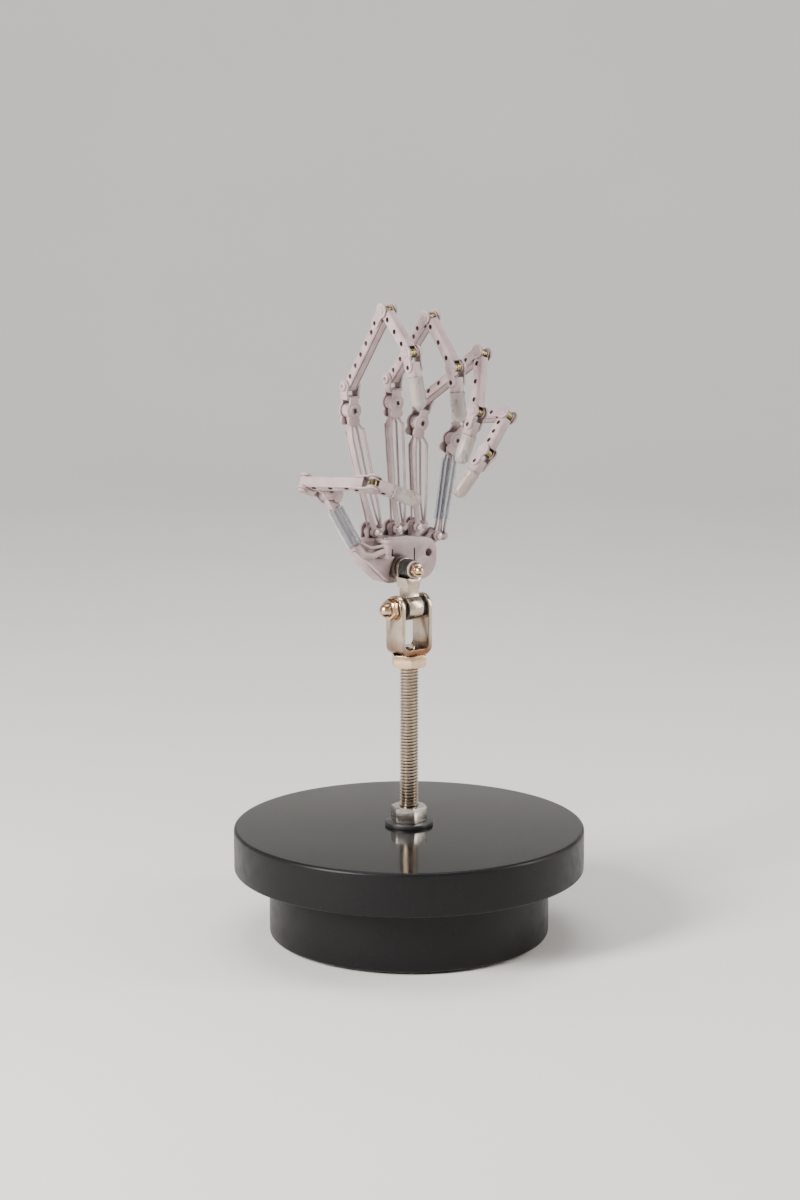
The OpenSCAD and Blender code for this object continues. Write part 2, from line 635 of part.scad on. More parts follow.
// The thumb's knuckle has its edges cut back where the folded link lies
module thumb_knuckle() color(plastic) at_thumb_knuckle() difference() {
    knuckle(thumb_links[1]);
    translate([0, 0, thumb_links[1]]) rotate([thumb_flex[0], 0, 0])
        translate([-arm_in, -link_r - 0.08, 0]) cube([2 * arm_in, 2 * link_r + 0.16, 9]);
}

// Hollow eyelet through the plates, and a pan-head screw with washer in each arm
module knuckle_pins(reach) {
    rotate([90, 0, 0]) rotate_extrude() polygon([
        [0.7, -plate_out - 0.35], [1.7, -plate_out - 0.35], [eyelet_flange, -plate_out - 0.02],
        [eyelet_r, -plate_out - 0.02], [eyelet_r, plate_out + 0.02], [eyelet_flange, plate_out + 0.02],
        [1.7, plate_out + 0.35], [0.7, plate_out + 0.35]]);
    both_sides() translate([0, 0, reach]) rotate([0, 90, 0]) rotate_extrude() polygon([
        [0, 0.3], [pin_r, 0.3], [pin_r, arm_out + 0.02], [1.6, arm_out + 0.02],
        [1.6, arm_out + 0.15], [1.4, arm_out + 0.15], [1.4, arm_out + 0.45],
        [1.1, arm_out + 0.7], [0, arm_out + 0.78]]);
}

module index_knuckle_pins() color(nickel) at_knuckle(INDEX) knuckle_pins(finger_links[INDEX][1]);
module middle_knuckle_pins() color(nickel) at_knuckle(MIDDLE) knuckle_pins(finger_links[MIDDLE][1]);
module ring_knuckle_pins() color(nickel) at_knuckle(RING) knuckle_pins(finger_links[RING][1]);
module little_knuckle_pins() color(nickel) at_knuckle(LITTLE) knuckle_pins(finger_links[LITTLE][1]);
module thumb_knuckle_pins() color(nickel) at_thumb_knuckle() knuckle_pins(thumb_links[1]);

// ---- Finger links ----

// Link from the knuckle's arms to a pair of ears, with a row of holes along each side
module proximal(len) difference() {
    union() {
        tongue_end(0);
        link_bar(0, len - ear_clear);
        ears(len, -1, 4.9);
    }
    ear_room(len, -1);
    pin_hole(0, pin_r + run_gap);
    pin_hole(len, pin_r + run_gap);
    holes = max(3, round((len - 9) / 4.2));
    side_holes([for (i = [0 : holes - 1]) 3.9 + i * (len - 12.4) / (holes - 1)], 0.76, link_w / 2);
    side_holes([len - 4.9], 0.72, ear_out);
}

module index_proximal() color(plastic) at_proximal(INDEX) proximal(finger_links[INDEX][2]);
module middle_proximal() color(plastic) at_proximal(MIDDLE) proximal(finger_links[MIDDLE][2]);
module ring_proximal() color(plastic) at_proximal(RING) proximal(finger_links[RING][2]);
module little_proximal() color(plastic) at_proximal(LITTLE) proximal(finger_links[LITTLE][2]);
module thumb_proximal() color(plastic) at_thumb_proximal() proximal(thumb_links[2]);

// Link that runs between the ears at both ends
module middle_link(len) difference() {
    union() {
        tongue_end(0);
        link_bar(0, len);
        tongue_end(len);
    }
    bush_slot(0, 1);
    bush_slot(len, -1);
    pin_hole(0, pin_r + 0.02);
    pin_hole(len, pin_r + 0.02);
    side_holes([3.6, len / 2, len - 3.6], 0.76, link_w / 2);
}

module index_middle() color(plastic) at_middle(INDEX) middle_link(finger_links[INDEX][3]);
module middle_middle() color(plastic) at_middle(MIDDLE) middle_link(finger_links[MIDDLE][3]);
module ring_middle() color(plastic) at_middle(RING) middle_link(finger_links[RING][3]);
module little_middle() color(plastic) at_middle(LITTLE) middle_link(finger_links[LITTLE][3]);

// Rivet with a thick bush in its middle and a flat head outside each ear
module link_rivet() {
    rod_x(pin_r, -ear_out - 0.1, ear_out + 0.1);
    rod_x(bush_r, -bush_half, bush_half);
    both_sides() rod_x(1.15, ear_out + 0.02, ear_out + 0.2);
}

module link_rivets(f) color(brass) at_middle(f) {
    link_rivet();
    translate([0, 0, finger_links[f][3]]) link_rivet();
}

module index_link_rivets() link_rivets(INDEX);
module middle_link_rivets() link_rivets(MIDDLE);
module ring_link_rivets() link_rivets(RING);
module little_link_rivets() link_rivets(LITTLE);
module thumb_link_rivet() color(brass) at_thumb_distal() link_rivet();

// Fingertip link: ears at the joint, a short bar and a round core inside the cap
module distal(reach) {
    cap_z = reach - cap_len;
    difference() {
        union() {
            ears(0, 1, 4.3);
            link_bar(ear_clear, cap_z + 0.1);
            translate([0, 0, cap_z]) cylinder(r = 1.7, h = cap_len - 2);
        }
        ear_room(0, 1);
        pin_hole(0, pin_r + run_gap);
        side_holes([4.3], 0.72, ear_out);
    }
}

module index_distal() color(plastic) at_distal(INDEX) distal(tip_reach);
module middle_distal() color(plastic) at_distal(MIDDLE) distal(tip_reach);
module ring_distal() color(plastic) at_distal(RING) distal(tip_reach);
module little_distal() color(plastic) at_distal(LITTLE) distal(tip_reach);

// The thumb's tip link has a tongue between the proximal link's ears
module thumb_distal() color(plastic) at_thumb_distal() difference() {
    cap_z = thumb_links[3] - cap_len;
    union() {
        tongue_end(0);
        link_bar(0, cap_z + 0.1);
        translate([0, 0, cap_z]) cylinder(r = 1.7, h = cap_len - 2);
    }
    bush_slot(0, 1);
    pin_hole(0, pin_r + 0.02);
    side_holes([3.8], 0.72, link_w / 2);
}

// Cap: a round-ended sleeve over the fingertip's core
module tip_cap(reach) translate([0, 0, reach - cap_len]) rotate_extrude() polygon(concat(
    [[1.75, 0.15], [cap_d / 2 - 0.2, 0.15], [cap_d / 2, 0.35]],
    arc([cap_d / 2 - 2, cap_len - 2], 2, 0, 90), [[0, cap_len], [0, cap_len - 1.9], [1.75, cap_len - 1.9]]));

module index_tip_cap() color(milky) at_distal(INDEX) tip_cap(tip_reach);
module middle_tip_cap() color(milky) at_distal(MIDDLE) tip_cap(tip_reach);
module ring_tip_cap() color(milky) at_distal(RING) tip_cap(tip_reach);
module little_tip_cap() color(milky) at_distal(LITTLE) tip_cap(tip_reach);
module thumb_tip_cap() color(milky) at_thumb_distal() tip_cap(thumb_links[3]);

base_lid();
base_drum();
bottom_cover();
cover_screws();
foot_ring();
threaded_rod();
rod_nuts();
rod_washers();
rod_fork();
fork_bolt();
fork_nut();
fork_spacers();
swivel_link();
wrist_bolt();
wrist_nut();
wrist_spacer();
palm_block();
wrist_boss_pad();
palm_hinge_pins();
thumb_metacarpal();
thumb_sleeve();
thumb_knuckle();
thumb_knuckle_pins();
thumb_proximal();
thumb_link_rivet();
thumb_distal();
thumb_tip_cap();
index_metacarpal();
index_knuckle();
index_knuckle_pins();
index_proximal();
index_middle();
index_link_rivets();
index_distal();
index_tip_cap();
middle_metacarpal();
middle_knuckle();
middle_knuckle_pins();
middle_proximal();
middle_middle();
middle_link_rivets();
middle_distal();
middle_tip_cap();
ring_metacarpal();
ring_knuckle();
ring_knuckle_pins();
ring_proximal();
ring_middle();
ring_link_rivets();
ring_distal();
ring_tip_cap();
little_metacarpal();
little_knuckle();
little_knuckle_pins();
little_proximal();
little_middle();
little_link_rivets();
little_distal();
little_tip_cap();
little_sleeve();
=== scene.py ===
"""Looks of the articulated hand on its threaded-rod stand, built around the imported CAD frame."""

import json
import math

import bmesh
import bpy
from mathutils import Matrix, Vector, noise

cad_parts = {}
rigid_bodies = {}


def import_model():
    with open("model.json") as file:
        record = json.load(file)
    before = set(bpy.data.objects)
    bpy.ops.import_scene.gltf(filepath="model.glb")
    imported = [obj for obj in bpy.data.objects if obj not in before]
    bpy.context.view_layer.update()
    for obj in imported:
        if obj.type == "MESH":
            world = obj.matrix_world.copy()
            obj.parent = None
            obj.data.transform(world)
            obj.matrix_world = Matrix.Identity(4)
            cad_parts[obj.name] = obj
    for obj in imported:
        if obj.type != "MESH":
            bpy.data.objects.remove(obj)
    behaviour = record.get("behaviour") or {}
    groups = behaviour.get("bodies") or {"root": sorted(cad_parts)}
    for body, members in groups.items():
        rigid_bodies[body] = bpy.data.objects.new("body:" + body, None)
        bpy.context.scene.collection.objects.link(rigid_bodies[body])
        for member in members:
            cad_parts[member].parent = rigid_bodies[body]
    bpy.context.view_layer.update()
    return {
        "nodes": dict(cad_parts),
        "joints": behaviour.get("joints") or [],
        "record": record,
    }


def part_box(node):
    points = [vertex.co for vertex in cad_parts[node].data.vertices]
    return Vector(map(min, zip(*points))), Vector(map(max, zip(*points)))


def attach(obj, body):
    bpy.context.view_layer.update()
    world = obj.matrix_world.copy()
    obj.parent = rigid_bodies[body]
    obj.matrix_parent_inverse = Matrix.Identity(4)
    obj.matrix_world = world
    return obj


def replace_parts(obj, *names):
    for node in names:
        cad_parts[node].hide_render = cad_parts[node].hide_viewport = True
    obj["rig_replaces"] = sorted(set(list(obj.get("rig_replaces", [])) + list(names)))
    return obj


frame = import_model()
nodes = frame["nodes"]
joints = {j["name"]: j for j in frame["joints"]}
slot_of = {s["node"]: s["material_slot"] for s in frame["record"]["subparts"]}
FINGERS = ("index", "middle", "ring", "little")
MM = 0.001
EDGE_PLASTIC = 0.14 * MM
EDGE_METAL = 0.12 * MM
MERGE = 1e-7
ROUND_BASE = 192


# ---- Materials ----

class Shader:
    """A node material with a Principled shader and short calls to add nodes."""

    def __init__(self, name, base, roughness, metallic=0.0):
        self.material = bpy.data.materials.new(name)
        self.material.use_nodes = True
        self.tree = self.material.node_tree
        self.bsdf = self.tree.nodes["Principled BSDF"]
        self.set("Base Color", (*base, 1))
        self.set("Roughness", roughness)
        self.set("Metallic", metallic)
        self.place = self.add("ShaderNodeTexCoord").outputs["Object"]

    def set(self, socket, value):
        self.bsdf.inputs[socket].default_value = value

    def add(self, kind, **values):
        node = self.tree.nodes.new(kind)
        for key, value in values.items():
            setattr(node, key, value)
        return node

    def link(self, out, into):
        self.tree.links.new(out, into)

    def noise(self, scale, detail=3.0, stretch=(1, 1, 1), distortion=0.0):
        mapping = self.add("ShaderNodeMapping")
        mapping.inputs["Scale"].default_value = stretch
        self.link(self.place, mapping.inputs["Vector"])
        node = self.add("ShaderNodeTexNoise")
        node.inputs["Scale"].default_value = scale
        node.inputs["Detail"].default_value = detail
        node.inputs["Distortion"].default_value = distortion
        self.link(mapping.outputs["Vector"], node.inputs["Vector"])
        return node.outputs["Fac"]

    def height(self, low, high):
        """0 below one height and 1 above another, along the object's Z."""
        split = self.add("ShaderNodeSeparateXYZ")
        self.link(self.place, split.inputs[0])
        node = self.add("ShaderNodeMapRange")
        node.inputs["From Min"].default_value = low
        node.inputs["From Max"].default_value = high
        self.link(split.outputs["Z"], node.inputs["Value"])
        return node.outputs["Result"]

    def painted_shade(self, distance, low, high):
        """Painted shade from ambient occlusion: 0 deep in gaps and corners, where shade falls, 1 on
        open faces.
        """
        node = self.add("ShaderNodeAmbientOcclusion", samples=6)
        node.inputs["Distance"].default_value = distance
        return self.ramp(node.outputs["AO"], low, high, 0.0, 1.0)

    def ramp(self, fac, low, high, first, last):
        """A colour or grey ramp between two stops."""
        node = self.add("ShaderNodeValToRGB")
        stops = node.color_ramp.elements
        for stop, place, colour in ((stops[0], low, first), (stops[1], high, last)):
            stop.position = place
            stop.color = (*colour, 1) if isinstance(colour, tuple) else (*(colour,) * 3, 1)
        self.link(fac, node.inputs["Fac"])
        return node.outputs["Color"]

    def mix(self, fac, first, second):
        """The first colour where the factor is 0, the second where it is 1."""
        node = self.add("ShaderNodeMix", data_type="RGBA")
        fac_in, first_in, second_in = node.inputs[0], node.inputs[6], node.inputs[7]
        for value, into in ((fac, fac_in), (first, first_in), (second, second_in)):
            if isinstance(value, bpy.types.NodeSocket):
                self.link(value, into)
            elif isinstance(value, tuple):
                into.default_value = (*value, 1)
            else:
                into.default_value = value
        return node.outputs[2]

    def bump(self, height, strength, distance):
        """Adds relief on top of any that is there already."""
        node = self.add("ShaderNodeBump")
        node.inputs["Strength"].default_value = strength
        node.inputs["Distance"].default_value = distance
        self.link(height, node.inputs["Height"])
        last = self.bsdf.inputs["Normal"].links
        if last:
            self.link(last[0].from_socket, node.inputs["Normal"])
        self.link(node.outputs["Normal"], self.bsdf.inputs["Normal"])

    def colour(self, out):
        self.link(out, self.bsdf.inputs["Base Color"])

    def rough(self, out):
        self.link(out, self.bsdf.inputs["Roughness"])


def hand_plastic():
    """Warm pinkish-grey plastic: soft mottling, painted shade darkening the gaps, satin gloss."""
    dusky, pale = (0.35, 0.262, 0.266), (0.455, 0.352, 0.355)
    s = Shader("hand_plastic", pale, 0.4)
    mottle = s.ramp(s.noise(240, 4), 0.35, 0.7, dusky, pale)
    stain = s.ramp(s.noise(95, 5, distortion=1.2), 0.60, 0.80, 0.0, 0.35)
    aged = s.mix(stain, mottle, (0.30, 0.225, 0.205))
    # Painted shade: ambient occlusion darkens the colour to near-black brown in gaps and corners
    s.colour(s.mix(s.painted_shade(0.0016, 0.25, 0.86), (0.070, 0.040, 0.034), aged))
    s.rough(s.ramp(s.noise(500, 4), 0.3, 0.7, 0.30, 0.48))
    s.bump(s.noise(2400, 2), 0.10, 0.00003)
    s.bump(s.noise(380, 2), 0.14, 0.00009)
    s.set("Subsurface Weight", 0.05)
    s.set("Subsurface Radius", (0.0010, 0.0007, 0.0006))
    return s.material


def plated(name, base, stain, rough, amount=0.5, brush=(1, 1, 1), tint=None):
    """Plated or plain metal with brushing, soft brown patches, painted shade in its gaps and uneven
    gloss.

    tint gives two heights and a tone: the metal has that tone below the first height."""
    s = Shader(name, base, rough, 1.0)
    patch = s.ramp(s.noise(110, 4, distortion=0.6), 0.50, 0.75, 0.0, amount)
    colour = s.mix(patch, base, stain)
    if tint:
        low, high, tone = tint
        wander = s.mix(0.25, s.height(low, high), s.noise(240, 4))
        colour = s.mix(s.ramp(wander, 0.3, 0.65, 0.0, 1.0), tone, colour)
    # Painted shade: ambient occlusion darkens the colour to near-black in gaps and corners
    s.colour(s.mix(s.painted_shade(0.0012, 0.2, 0.8), (0.05, 0.03, 0.02), colour))
    streak = s.noise(800, 3, brush)
    s.rough(s.ramp(streak, 0.3, 0.75, max(0.08, rough - 0.06), rough + 0.08))
    s.bump(streak, 0.10, 0.00001)
    return s.material


def rubber(name, base, rough):
    """Dark rubber with a fine grain and a faint pale bloom."""
    s = Shader(name, base, rough)
    s.colour(s.ramp(s.noise(600, 3), 0.35, 0.7, base, tuple(c * 2.0 + 0.003 for c in base)))
    s.rough(s.ramp(s.noise(300, 3), 0.3, 0.7, rough - 0.12, rough + 0.12))
    s.bump(s.noise(2200, 2), 0.2, 0.00003)
    return s.material


def base_finish(name, top_gloss):
    """Black finish: mirror-like on faces that look up, fine orange-peel grain on the sides."""
    black, speck = (0.005, 0.005, 0.0055), (0.013, 0.013, 0.014)
    s = Shader(name, black, 0.42)
    grain = s.noise(1100, 4)
    s.colour(s.ramp(s.noise(1500, 3), 0.60, 0.78, black, speck))
    side = s.ramp(s.noise(240, 4), 0.3, 0.7, 0.33, 0.45)
    if top_gloss:
        normal = s.add("ShaderNodeSeparateXYZ")
        s.link(s.add("ShaderNodeNewGeometry").outputs["Normal"], normal.inputs[0])
        up = s.ramp(normal.outputs["Z"], 0.9, 0.97, 0.0, 1.0)
        smudge = s.ramp(s.noise(45, 5, distortion=0.6), 0.42, 0.8, 0.10, 0.19)
        s.rough(s.mix(up, side, smudge))
        s.bump(s.mix(up, grain, (0.5, 0.5, 0.5)), 0.35, 0.00006)
    else:
        s.rough(side)
        s.bump(grain, 0.25, 0.00005)
    s.set("Specular IOR Level", 0.20)
    return s.material


def clear_tube():
    """Clear bluish tubing with faint lengthwise draw lines."""
    s = Shader("sleeve_clear", (0.83, 0.87, 0.93), 0.12)
    streak = s.noise(700, 3, (1, 1, 0.12))
    s.colour(s.ramp(streak, 0.3, 0.75, (0.78, 0.83, 0.91), (0.93, 0.95, 0.98)))
    s.rough(s.ramp(s.noise(200, 4), 0.35, 0.8, 0.07, 0.24))
    s.bump(streak, 0.05, 0.00003)
    s.set("Transmission Weight", 0.92)
    s.set("IOR", 1.45)
    return s.material


def milky_cap():
    """Milky translucent soft cap with faint cloudy streaks and a hint of warm tint."""
    s = Shader("cap_milky", (0.84, 0.80, 0.77), 0.3)
    cloud = s.noise(420, 3, (1, 1, 0.45), 0.3)
    warm = s.ramp(s.noise(90, 2), 0.50, 0.80, 0.0, 0.35)
    haze = s.ramp(cloud, 0.25, 0.8, (0.45, 0.39, 0.37), (0.66, 0.60, 0.57))
    s.colour(s.mix(warm, haze, (0.62, 0.45, 0.35)))
    s.rough(s.ramp(cloud, 0.3, 0.75, 0.24, 0.36))
    s.bump(cloud, 0.06, 0.00005)
    s.set("Transmission Weight", 0.50)
    s.set("IOR", 1.40)
    s.set("Subsurface Weight", 0.35)
    s.set("Subsurface Radius", (0.0018, 0.0014, 0.0012))
    return s.material


MATERIALS = {
    "hand_plastic": hand_plastic(),
    "rod_nickel": plated("rod_nickel", (0.66, 0.57, 0.46), (0.36, 0.25, 0.16), 0.20, 0.35),
    "nut_brass": plated("nut_brass", (0.66, 0.47, 0.31), (0.20, 0.10, 0.05), 0.22, 0.85,
                        tint=(0.055, 0.070, (0.58, 0.54, 0.50))),
    "fork_nickel": plated("fork_nickel", (0.50, 0.42, 0.34), (0.26, 0.16, 0.10), 0.28, 0.55,
                          (1, 1, 0.06), (0.0880, 0.0990, (0.20, 0.105, 0.055))),
    "pin_nickel": plated("pin_nickel", (0.55, 0.48, 0.46), (0.28, 0.21, 0.18), 0.30, 0.5),
    "rivet_brass": plated("rivet_brass", (0.30, 0.25, 0.12), (0.10, 0.08, 0.04), 0.36, 0.6),
    "screw_steel": plated("screw_steel", (0.55, 0.55, 0.54), (0.30, 0.27, 0.24), 0.30, 0.4),
    "washer_black": rubber("washer_black", (0.010, 0.010, 0.011), 0.40),
    "spacer_rubber": rubber("spacer_rubber", (0.006, 0.006, 0.006), 0.38),
    "boss_dark": rubber("boss_dark", (0.030, 0.022, 0.018), 0.36),
    "foot_rubber": rubber("foot_rubber", (0.02, 0.02, 0.02), 0.70),
    "base_gloss": base_finish("base_gloss", True),
    "base_matte": base_finish("base_matte", False),
    "sleeve_clear": clear_tube(),
    "cap_milky": milky_cap(),
}


# ---- Shape helpers ----

def new_object(name, bm, smooth=35):
    """A mesh object with smooth shading that breaks at sharp edges."""
    bmesh.ops.recalc_face_normals(bm, faces=bm.faces)
    mesh = bpy.data.meshes.new(name)
    bm.to_mesh(mesh)
    bm.free()
    for polygon in mesh.polygons:
        polygon.use_smooth = True
    mesh.set_sharp_from_angle(angle=math.radians(smooth))
    piece = bpy.data.objects.new(name, mesh)
    bpy.context.scene.collection.objects.link(piece)
    return piece


def body_of(node):
    bodies = frame["record"]["behaviour"]["bodies"]
    return next(body for body, held in bodies.items() if node in held)


def adopt(piece, node, slot=None):
    """Give a piece its finish and its body, and let it stand for its CAD node."""
    slot = slot or slot_of[node]
    piece.data.materials.clear()
    piece.data.materials.append(MATERIALS[slot])
    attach(piece, body_of(node))
    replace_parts(piece, node)
    return piece


def joint_at(name):
    return Vector(joints[name]["pos_m"])


def joint_axis(name):
    return Vector(joints[name]["axis"]).normalized()


def centre_of(node):
    """Area-weighted centre of a CAD node's faces."""
    total = Vector()
    weight = 0.0
    for polygon in nodes[node].data.polygons:
        total += polygon.center * polygon.area
        weight += polygon.area
    return total / weight


def frame_along(origin, direction):
    """Matrix whose Z runs along a direction from an origin."""
    turn = direction.normalized().to_track_quat("Z", "Y").to_matrix().to_4x4()
    return Matrix.Translation(origin) @ turn


def reach_along(node, origin, direction):
    """A CAD node's lowest and highest distance along a direction, and its radius about it."""
    direction = direction.normalized()
    low, high, radius = 1.0, -1.0, 0.0
    for vertex in nodes[node].data.vertices:
        offset = vertex.co - origin
        along = offset.dot(direction)
        low, high = min(low, along), max(high, along)
        radius = max(radius, (offset - direction * along).length)
    return low, high, radius


def lathe(bm, profile, place, segments=64, wobble=0.0):
    """Turn a profile of (radius, height) points about the Z of a place; radius 0 closes an end.

    wobble makes the wall uneven by that part of its size."""
    rings = []
    for radius, height in profile:
        if radius < MERGE:
            rings.append([bm.verts.new(place @ Vector((0, 0, height)))])
            continue
        ring = []
        for i in range(segments):
            angle = math.tau * i / segments
            point = Vector((radius * math.cos(angle), radius * math.sin(angle), height))
            if wobble:
                point *= 1 + wobble * noise.noise(point * 260 + place.translation * 900)
            ring.append(bm.verts.new(place @ point))
        rings.append(ring)
    for first, second in zip(rings, rings[1:]):
        for i in range(segments):
            k = (i + 1) % segments
            loop = [first[i % len(first)], first[k % len(first)],
                    second[k % len(second)], second[i % len(second)]]
            corners = list(dict.fromkeys(loop))
            if len(corners) > 2:
                bm.faces.new(corners)


def arc(x, z, radius, angles):
    """Points round a centre, at angles in degrees from outwards towards up."""
    return [(x + radius * math.cos(math.radians(a)), z + radius * math.sin(math.radians(a)))
            for a in angles]


def ring_profile(inner, outer, low, high, soft):
    """Closed profile of a ring with its four edges rounded."""
    corners = ((outer - soft, low + soft, -90), (outer - soft, high - soft, 0),
               (inner + soft, high - soft, 90), (inner + soft, low + soft, 180))
    points = []
    for x, z, start in corners:
        points += arc(x, z, soft, range(start, start + 91, 30))
    return points + points[:1]


def closed_ring(bm, profile, place, segments=64, wobble=0.0):
    """A lathe of a closed profile, joined to itself."""
    start = len(bm.verts)
    lathe(bm, profile, place, segments, wobble)
    bm.verts.ensure_lookup_table()
    bmesh.ops.remove_doubles(bm, verts=bm.verts[start:], dist=MERGE)


def softened(node, width):
    """A copy of a CAD node with clean faces and its sharp edges rounded over."""
    bm = bmesh.new()
    bm.from_mesh(nodes[node].data)
    bmesh.ops.remove_doubles(bm, verts=bm.verts, dist=2e-6)
    flat, crease = math.radians(0.6), math.radians(30)
    bmesh.ops.dissolve_limit(bm, angle_limit=flat, verts=bm.verts, edges=bm.edges)
    sharp = [e for e in bm.edges if len(e.link_faces) == 2 and e.calc_face_angle(0) > crease]
    bmesh.ops.bevel(bm, geom=sharp, offset=width, segments=2, profile=0.5, affect="EDGES",
                    clamp_overlap=True)
    bmesh.ops.dissolve_degenerate(bm, edges=bm.edges, dist=1e-6)
    return adopt(new_object(node + "_shell", bm), node)


# ---- Base ----

def turned_lid():
    """Lid turned finely, with rounded rims."""
    low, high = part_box("base_lid")
    rim, bottom, top = high[0], low[2], high[2]
    bore, bore_edge = 3.3 * MM, 0.3 * MM
    under, plate = 26 * MM, 6 * MM
    upper, lower = 1.1 * MM, 0.7 * MM
    profile = [(bore, top - plate), (bore, top - bore_edge), (bore + bore_edge, top)]
    profile += arc(rim - upper, top - upper, upper, range(90, -1, -10))
    profile += [(rim, top - 3 * MM), (rim, bottom + 3 * MM)]
    profile += arc(rim - lower, bottom + lower, lower, range(0, -91, -15))
    profile += [(under + 14 * MM, bottom), (under, bottom), (under, top - plate),
                (bore, top - plate)]
    bm = bmesh.new()
    closed_ring(bm, profile, Matrix(), ROUND_BASE)
    adopt(new_object("lid_turned", bm), "base_lid")


def turned_drum():
    """Drum wall turned finely, with a spigot up inside the lid and a seat for the cover."""
    low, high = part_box("base_drum")
    outer, bottom, top = high[0], low[2], high[2]
    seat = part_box("base_lid")[0][2]
    spigot = 26 * MM
    foot = 1 * MM
    cover, cover_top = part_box("bottom_cover")[1][0] + 0.1 * MM, bottom + 3 * MM
    wall, ledge, step = spigot - 4 * MM, spigot - 8 * MM, bottom + 9 * MM
    profile = [(cover, bottom), (outer - foot, bottom)]
    profile += arc(outer - foot, bottom + foot, foot, range(-75, 1, 15))
    profile += [(outer, seat - 2 * MM), (outer, seat), (spigot, seat), (spigot, top),
                (wall, top), (wall, step), (ledge, step), (ledge, cover_top),
                (cover, cover_top), (cover, bottom)]
    bm = bmesh.new()
    closed_ring(bm, profile, Matrix(), ROUND_BASE)
    adopt(new_object("drum_turned", bm), "base_drum")


# ---- Rod ----

def threaded_rod():
    """A real helical thread of 1 mm pitch, with a plain thinner stretch at each end."""
    low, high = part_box("threaded_rod")
    start, stop, crest = low[2], high[2], high[0]
    pitch, depth, chamfer = 1.0 * MM, 0.6 * MM, 0.5 * MM
    root = crest - depth
    steps = [root + depth * part for part in (0, 0, 0.35, 0.7, 1, 1, 0.7, 0.35)]
    rows = int((stop - start) / pitch * len(steps)) + 2 * len(steps) + 2
    sides = 72
    bm = bmesh.new()
    grid = []
    for row in range(rows):
        ring = []
        for i in range(sides):
            angle = math.tau * i / sides
            z = start + (row / len(steps) + i / sides - 1) * pitch
            radius = steps[row % len(steps)]
            if z <= start + chamfer or z >= stop - chamfer:
                radius = root
            z = min(max(z, start), stop)
            ring.append(bm.verts.new((radius * math.cos(angle), radius * math.sin(angle), z)))
        grid.append(ring)
    for row in range(rows - 1):
        for i in range(sides - 1):
            bm.faces.new((grid[row][i], grid[row][i + 1], grid[row + 1][i + 1], grid[row + 1][i]))
        ahead = row + len(steps)
        if ahead + 1 < rows:
            bm.faces.new((grid[ahead][0], grid[ahead + 1][0], grid[row + 1][-1], grid[row][-1]))
    bmesh.ops.remove_doubles(bm, verts=bm.verts, dist=MERGE)
    bmesh.ops.dissolve_degenerate(bm, edges=bm.edges, dist=MERGE)
    bmesh.ops.holes_fill(bm, edges=[e for e in bm.edges if e.is_boundary], sides=0)
    adopt(new_object("rod_thread", bm, 25), "threaded_rod")


# ---- Pins, rivets, sleeves and caps ----

def in_mm(profile):
    """A profile written in millimetres, in metres."""
    return [(radius * MM, height * MM) for radius, height in profile]


# Outlines of (radius, height) in millimetres, outwards from the middle of the joint
EYELET_FLANGE = in_mm((
    (1.0, 1.6), (1.0, 2.52), (1.08, 2.6), (1.42, 2.6), (1.6, 2.56), (1.86, 2.44),
    (1.98, 2.32), (1.98, 2.27), (1.18, 2.27), (1.18, 1.6), (1.0, 1.6)))
EYELET_LINER = in_mm((
    (0.72, -2.6), (0.78, -2.68), (0.92, -2.68), (0.99, -2.6), (0.99, 2.6), (0.92, 2.68),
    (0.78, 2.68), (0.72, 2.6), (0.72, -2.6)))
ARM_HEAD = in_mm((
    (0, 2.5), (1.58, 2.5), (1.6, 2.56), (1.56, 2.63), (1.42, 2.64), (1.42, 2.8), (1.36, 2.98),
    (1.2, 3.12), (0.92, 3.2), (0.62, 3.22), (0.54, 3.18), (0.5, 3.02), (0, 3.0)))
ARM_PIN = in_mm((
    (0, 0.3), (0.58, 0.3), (0.58, 2.9), (0.4, 2.9), (0.4, 3.1), (0.34, 3.2), (0.2, 3.25),
    (0, 3.26)))
RIVET_BUSH = in_mm((
    (0, -2.4), (0.58, -2.4), (0.58, -1.06), (1.2, -1.06), (1.33, -0.98), (1.33, -0.46),
    (1.16, -0.38), (1.16, -0.3), (1.33, -0.22), (1.33, 0.22), (1.16, 0.3), (1.16, 0.38),
    (1.33, 0.46), (1.33, 0.98), (1.2, 1.06), (0.58, 1.06), (0.58, 2.4), (0, 2.4)))
RIVET_HEAD = in_mm((
    (0, 2.335), (1.14, 2.335), (1.2, 2.36), (1.2, 2.44), (1.12, 2.5), (0.6, 2.53),
    (0.42, 2.5), (0.3, 2.44), (0, 2.42)))


def knuckle_pins(finger):
    """Flanged eyelet with a metal liner through the plates, and two pinned heads on the arms."""
    node = finger + "_knuckle_pins"
    spread, flex = finger + "_spread", finger + "_base_flex"
    flanges = bmesh.new()
    metal = bmesh.new()
    for side in (-1, 1):
        place = frame_along(joint_at(spread), side * joint_axis(spread))
        closed_ring(flanges, EYELET_FLANGE, place, 48)
        place = frame_along(joint_at(flex), side * joint_axis(flex))
        lathe(flanges, ARM_HEAD, place, 48)
        lathe(metal, ARM_PIN, place, 32)
    closed_ring(metal, EYELET_LINER, frame_along(joint_at(spread), joint_axis(spread)), 48)
    adopt(new_object(finger + "_pin_metal", metal), node)
    adopt(new_object(finger + "_pin_flanges", flanges), node, "hand_plastic")


def link_rivets(finger, node, at):
    """Ridged brass bush between the ears, and a low domed head with a dimple outside each ear."""
    bushes = bmesh.new()
    heads = bmesh.new()
    for name in at:
        origin, axis = joint_at(name), joint_axis(name)
        lathe(bushes, RIVET_BUSH, frame_along(origin, axis), 40)
        for side in (-1, 1):
            lathe(heads, RIVET_HEAD, frame_along(origin, side * axis), 40)
    adopt(new_object(finger + "_bushes", bushes), node)
    adopt(new_object(finger + "_rivet_heads", heads), node, "hand_plastic")


